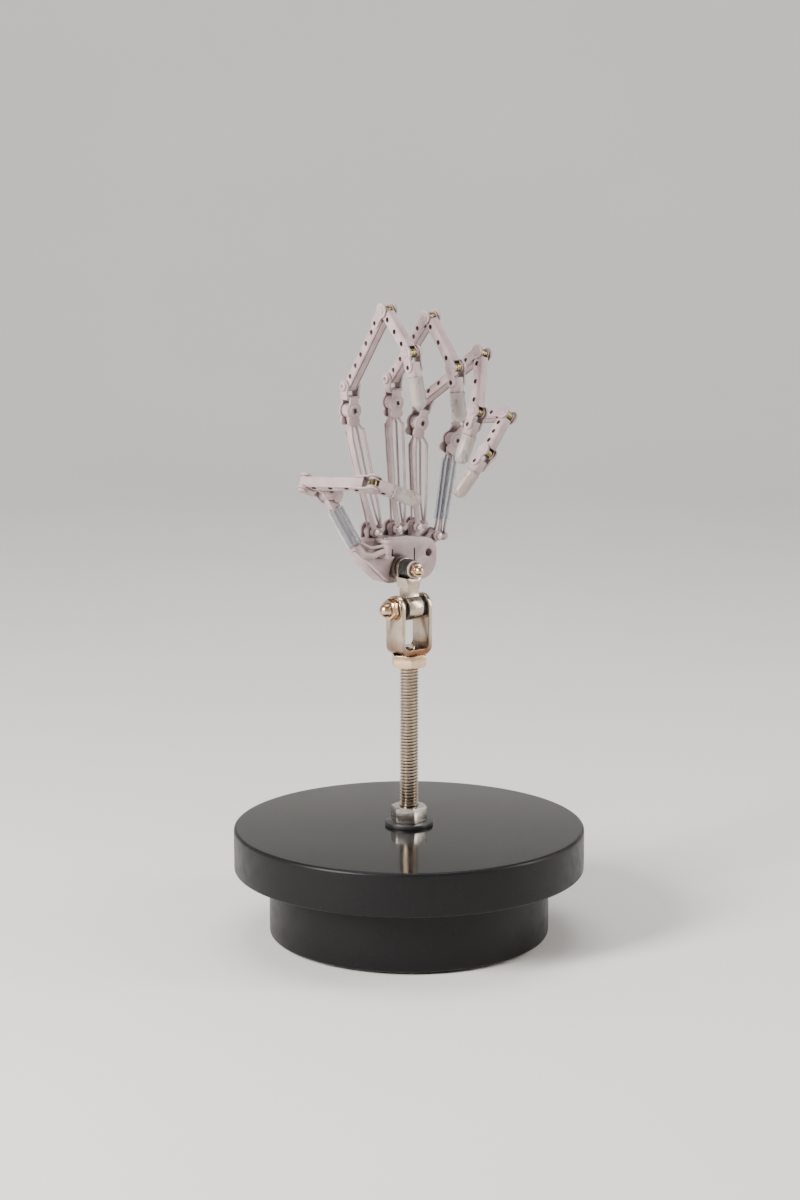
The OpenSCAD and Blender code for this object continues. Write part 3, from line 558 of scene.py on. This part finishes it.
def tip_cap(node, pin):
    """Soft cap with a proud rim, a slightly uneven wall and a rounded end."""
    direction = centre_of(node) - joint_at(pin)
    low, high, radius = reach_along(node, joint_at(pin), direction)
    inner, bend = 1.76 * MM, 1.95 * MM
    r, tip = radius - 0.03 * MM, high - 0.03 * MM
    bend_r = r - 0.12 * MM - bend
    lining = [(0, high - 1.75 * MM), (inner - 0.5 * MM, high - 1.78 * MM),
              (inner, high - 2.1 * MM)]
    # How far in from the radius and up from the rim each ring of the wall lies, in millimetres
    wall = ((0.3, 0.02), (0.06, 0.1), (0, 0.28), (0.05, 0.5), (0.14, 0.7), (0.12, 2.6), (0.05, 4.6))
    profile = [(inner, low + 0.2 * MM), (inner + 0.2 * MM, low + 0.02 * MM)]
    profile += [(r - inset * MM, low + up * MM) for inset, up in wall]
    profile += [(r - 0.10 * MM, high - 2.3 * MM)]
    profile += arc(bend_r, tip - bend, bend, range(10, 90, 10)) + [(bend_r, tip), (0, tip)]
    bm = bmesh.new()
    lathe(bm, lining + profile, frame_along(joint_at(pin), direction), 56, 0.012)
    adopt(new_object(node + "_soft", bm, 50), node)


def clear_sleeve(node, top):
    """Clear tube over the metacarpal, a little wider at the top and at both lips."""
    origin = centre_of(node)
    direction = joint_at(top) - origin
    low, high, radius = reach_along(node, origin, direction)
    base_r, top_r = radius - 0.2 * MM, radius - 0.02 * MM
    wall = 0.3 * MM
    profile = []
    rows = 14
    for i in range(rows + 1):
        t = i / rows
        lip = 0.02 * MM if i in (0, rows) else -0.05 * MM
        profile.append((base_r + (top_r - base_r) * t + lip - 0.02 * MM, low + (high - low) * t))
    inside = [(r - wall, z) for r, z in reversed(profile)]
    bm = bmesh.new()
    closed_ring(bm, profile + inside + profile[:1], frame_along(origin, direction), 64, 0.008)
    adopt(new_object(node + "_tube", bm, 50), node)


def wrist_spacer():
    """Ribbed rubber spacer on the wrist's bolt."""
    origin, axis = joint_at("wrist_turn"), joint_axis("wrist_turn")
    if axis.y > 0:
        axis = -axis
    low, high, radius = reach_along("wrist_spacer", origin, axis)
    bore, groove, crest = 1.54 * MM, radius - 0.22 * MM, radius - 0.02 * MM
    ribs = 4
    size = (high - low) / ribs
    profile = [(bore, low)]
    for i in range(ribs):
        start = low + (high - low) * i / ribs
        profile += [(groove, start + 0.04 * size), (crest, start + 0.2 * size),
                    (crest, start + 0.8 * size), (groove, start + 0.96 * size)]
    profile += [(bore, high), (bore, low)]
    bm = bmesh.new()
    closed_ring(bm, profile, frame_along(origin, axis), 64)
    adopt(new_object("wrist_spacer_ribbed", bm, 30), "wrist_spacer")


def wrist_cap_nut():
    """The CAD's cap nut with soft edges, on a pale raised ring."""
    softened("wrist_nut", EDGE_METAL)
    origin = joint_at("wrist_turn")
    axis = (centre_of("wrist_nut") - origin).normalized()
    low, _, radius = reach_along("wrist_nut", origin, axis)
    ring = ring_profile(1.98 * MM, radius, low + 0.02 * MM, low + 0.74 * MM, 0.16 * MM)
    bm = bmesh.new()
    closed_ring(bm, ring, frame_along(origin, axis), 64)
    adopt(new_object("wrist_pale_ring", bm), "wrist_nut", "hand_plastic")


# ---- Metacarpals ----

def smoothed(stations, steps=5):
    """Catmull-Rom curve through rows of numbers."""
    rows = []
    count = len(stations)
    for i in range(count - 1):
        a, b = stations[max(i - 1, 0)], stations[i]
        c, d = stations[i + 1], stations[min(i + 2, count - 1)]
        for k in range(steps):
            t = k / steps
            rows.append([0.5 * (2 * q + (r - p) * t + (2 * p - 5 * q + 4 * r - u) * t * t
                                + (3 * q - p - 3 * r + u) * t ** 3)
                         for p, q, r, u in zip(a, b, c, d)])
    return rows + [list(stations[-1])]


def strut(bm, place, stations, roundness=1.0):
    """Smooth bar through (x, y, z, half width, half depth) rows in mm; low roundness is boxier."""
    sides = 16
    rings = []
    for x, y, z, half_x, half_y in smoothed(stations):
        ring = []
        for i in range(sides):
            c, s = math.cos(math.tau * i / sides), math.sin(math.tau * i / sides)
            point = Vector((x + half_x * math.copysign(abs(c) ** roundness, c),
                            y + half_y * math.copysign(abs(s) ** roundness, s), z))
            ring.append(bm.verts.new(place @ (point * MM)))
        rings.append(ring)
    for first, second in zip(rings, rings[1:]):
        for i in range(sides):
            k = (i + 1) % sides
            bm.faces.new((first[i], first[k], second[k], second[i]))
    bm.faces.new(rings[0][::-1])
    bm.faces.new(rings[-1])


def block(bm, place, low, high, soft):
    """Box between two corners in mm, with rounded edges."""
    size = [b - a for a, b in zip(low, high)]
    middle = Vector([(a + b) / 2 for a, b in zip(low, high)]) * MM
    scale = Matrix.Diagonal((*[v * MM for v in size], 1))
    made = bmesh.ops.create_cube(bm, size=1, matrix=place @ Matrix.Translation(middle) @ scale)
    edges = {edge for vert in made["verts"] for edge in vert.link_edges}
    bmesh.ops.bevel(bm, geom=list(edges), offset=soft * MM, segments=2, profile=0.5, affect="EDGES")


def metacarpal(finger, slim):
    """Knuckle drum and neck, a flat side strap, three thin rods and the forked foot with its ball.

    A slim one has a fourth thin rod for its strap. Numbers in rows are millimetres."""
    hub, eye = joint_at(finger + "_splay"), joint_at(finger + "_spread")
    y_axis = joint_axis(finger + "_splay")
    hub_x, ball_x = -1.5, 1.8
    length = math.sqrt((eye - hub).length ** 2 - (hub_x * MM) ** 2)
    lean = math.atan2(-hub_x * MM, length)
    z_axis = (Matrix.Rotation(-lean, 3, y_axis) @ (eye - hub)).normalized()
    x_axis = y_axis.cross(z_axis)
    place = Matrix((x_axis, y_axis, z_axis)).transposed().to_4x4()
    place.translation = hub - x_axis * hub_x * MM
    top = length / MM
    bm = bmesh.new()
    closed_ring(bm, ring_profile(1.24 * MM, 2.2 * MM, -1.5 * MM, 1.5 * MM, 0.22 * MM),
                frame_along(eye, y_axis), 48)
    neck = top - 5
    strut(bm, place, [(0, 0, neck, 1.35, 1.1), (0, 0, neck + 0.4, 1.5, 1.25),
                      (0, 0, top - 2, 1.45, 1.2), (0, 0, top - 1.35, 1.45, 1.2)], 0.45)
    wide, deep, knee = (1.3, 1.1, 3.6) if slim else (2.15, 1.6, 9)
    low_x, low_y = (1.05, 0.95) if slim else (1.85, 1.4)
    if slim:
        strut(bm, place, [(hub_x, -1.25, 0.3, 0.6, 0.45), (-low_x, -low_y, knee, 0.45, 0.4),
                          (-wide, -deep, top - 7.4, 0.45, 0.4),
                          (-1.05, -0.7, top - 4.3, 0.45, 0.4)])
    else:
        strut(bm, place, [(hub_x, -1.28, 0.1, 0.95, 0.5), (-1.55, -1.15, 3, 0.82, 0.72),
                          (-low_x, -0.55, knee, 0.66, 0.98), (-2.0, -0.4, knee + 7, 0.58, 1.18),
                          (-2.12, -0.3, top - 11, 0.58, 1.32),
                          (-2.12, -0.3, top - 8.4, 0.62, 1.38),
                          (-1.75, -0.2, top - 6.4, 0.62, 1.25),
                          (-1.0, 0, top - 4.2, 0.6, 1.0)], 0.55)
    # Foot place, then which side and which face each rod runs up, then its radius
    for foot_x, foot_y, side, face, r in ((hub_x, 1.95, -1, 1, 0.36), (ball_x, -0.5, 1, -1, 0.44),
                                          (ball_x + 0.2, 0.5, 1, 1, 0.36)):
        x, y = side * wide, face * deep
        strut(bm, place, [(foot_x, foot_y, 0.6, r, r), (side * low_x, face * low_y, knee, r, r),
                          (x, y, top - 8.6, r * 1.1, r),
                          (x * 0.93, y * 0.93, top - 6.8, r * 1.15, r * 1.1),
                          (side * 1.0, face * 0.8, top - 4.3, r * 1.1, r * 1.1)])
    for low, high in ((-1.95, -0.6), (1.5, 2.4)):
        closed_ring(bm, ring_profile(0.64 * MM, 1.6 * MM, low * MM, high * MM, 0.2 * MM),
                    frame_along(hub, y_axis), 40)
    arm = 0.6
    block(bm, place, (hub_x + 1, -1.8, -arm), (ball_x, -0.75, arm), 0.2)
    block(bm, place, (hub_x + 1, 1.6, -arm), (ball_x + 1.2, 2.25, arm), 0.2)
    block(bm, place, (ball_x + 0.5, 0.3, -arm), (ball_x + 1.35, 2.25, arm), 0.2)
    ball = [(0, -1.5)] + arc(0, 0, 1.5, range(-75, 61, 15)) + [(0.5, 1.4), (0.34, 1.3), (0, 1.28)]
    ball_place = frame_along(place @ Vector((ball_x * MM, 0, 0)), -y_axis)
    lathe(bm, in_mm(ball), ball_place, 40)
    adopt(new_object(finger + "_bone", bm, 40), finger + "_metacarpal")


# ---- Pieces ----

turned_lid()
turned_drum()
threaded_rod()
wrist_spacer()
wrist_cap_nut()
for finger in FINGERS + ("thumb",):
    knuckle_pins(finger)
for finger in FINGERS:
    metacarpal(finger, finger == "little")
    link_rivets(finger, finger + "_link_rivets", (finger + "_middle_flex", finger + "_tip_flex"))
    tip_cap(finger + "_tip_cap", finger + "_tip_flex")
link_rivets("thumb", "thumb_link_rivet", ("thumb_tip_flex",))
tip_cap("thumb_tip_cap", "thumb_tip_flex")
clear_sleeve("thumb_sleeve", "thumb_spread")
clear_sleeve("little_sleeve", "little_spread")

replaced = {name for piece in bpy.data.objects for name in piece.get("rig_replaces", [])}
# Of the CAD parts that no piece stands for, these get soft edges and the others stay as they are
SOFTENED = ("palm_block", "rod_fork", "swivel_link", "fork_nut", "rod_nuts", "fork_bolt",
            "wrist_bolt", "wrist_boss_pad", "palm_hinge_pins", "rod_washers")
HAND_PARTS = ("metacarpal", "knuckle", "proximal", "middle", "distal")
for name, node in nodes.items():
    node.data.materials.clear()
    node.data.materials.append(MATERIALS[slot_of[name]])
    if name in replaced:
        continue
    if name in SOFTENED or name.split("_", 1)[-1] in HAND_PARTS:
        softened(name, EDGE_PLASTIC if slot_of[name] == "hand_plastic" else EDGE_METAL)


# ---- Floor, light and camera ----

def add_floor():
    """Pale studio floor that curves up into a wall all round."""
    flat, bend, wall_top = 1.0, 0.6, 1.5
    profile = [(0, 0), (0.4, 0), (flat, 0)]
    profile += arc(flat, bend, bend, range(-80, 1, 10)) + [(flat + bend, wall_top)]
    bm = bmesh.new()
    lathe(bm, profile, Matrix(), 96)
    floor = new_object("floor", bm, 80)
    s = Shader("floor_paper", (0.72, 0.71, 0.69), 0.85)
    s.colour(s.ramp(s.noise(3, 2), 0.3, 0.7, (0.70, 0.69, 0.67), (0.74, 0.73, 0.71)))
    floor.data.materials.append(s.material)


def add_light(name, place, aim, size, power, colour=(1, 1, 1)):
    """Soft rectangular lamp, aimed at a point."""
    data = bpy.data.lights.new(name, "AREA")
    data.shape = "RECTANGLE"
    data.size, data.size_y = size
    data.energy = power
    data.color = colour
    lamp = bpy.data.objects.new(name, data)
    lamp.location = place
    lamp.rotation_euler = (Vector(aim) - Vector(place)).to_track_quat("-Z", "Y").to_euler()
    bpy.context.scene.collection.objects.link(lamp)


def add_world():
    """Pale at the horizon and darker overhead, so that metal has something to mirror."""
    world = bpy.data.worlds.new("studio")
    world.use_nodes = True
    tree = world.node_tree
    split = tree.nodes.new("ShaderNodeSeparateXYZ")
    ramp = tree.nodes.new("ShaderNodeValToRGB")
    coord = tree.nodes.new("ShaderNodeTexCoord")
    stops = ramp.color_ramp.elements
    stops[0].position, stops[0].color = 0.2, (0.30, 0.30, 0.31, 1)
    stops[1].position, stops[1].color = 0.7, (0.16, 0.165, 0.175, 1)
    tree.links.new(coord.outputs["Generated"], split.inputs[0])
    tree.links.new(split.outputs["Z"], ramp.inputs["Fac"])
    tree.links.new(ramp.outputs["Color"], tree.nodes["Background"].inputs["Color"])
    tree.nodes["Background"].inputs["Strength"].default_value = 1.0
    bpy.context.scene.world = world


def add_camera():
    """A long lens in front, a little above the hand and tilted down, as in the photograph."""
    data = bpy.data.cameras.new("camera")
    data.lens = 75
    data.sensor_width = 36
    data.clip_start = 0.02
    camera = bpy.data.objects.new("camera", data)
    camera.location = (-0.00283, -0.7607, 0.2448)
    camera.rotation_euler = (math.radians(79.7), 0, 0)
    bpy.context.scene.collection.objects.link(camera)
    bpy.context.scene.camera = camera


add_floor()
add_world()
add_camera()
add_light("key", place=(-0.62, -0.50, 0.50), aim=(0, 0, 0.12), size=(0.24, 0.40), power=19,
          colour=(1, 0.96, 0.93))
add_light("rim", place=(0.62, -0.05, 0.34), aim=(0, 0, 0.13), size=(0.12, 0.5), power=3.2,
          colour=(1, 0.95, 0.91))
add_light("back", place=(0.0, 0.30, 1.25), aim=(0, 0.35, 0.0), size=(0.8, 0.8), power=11)
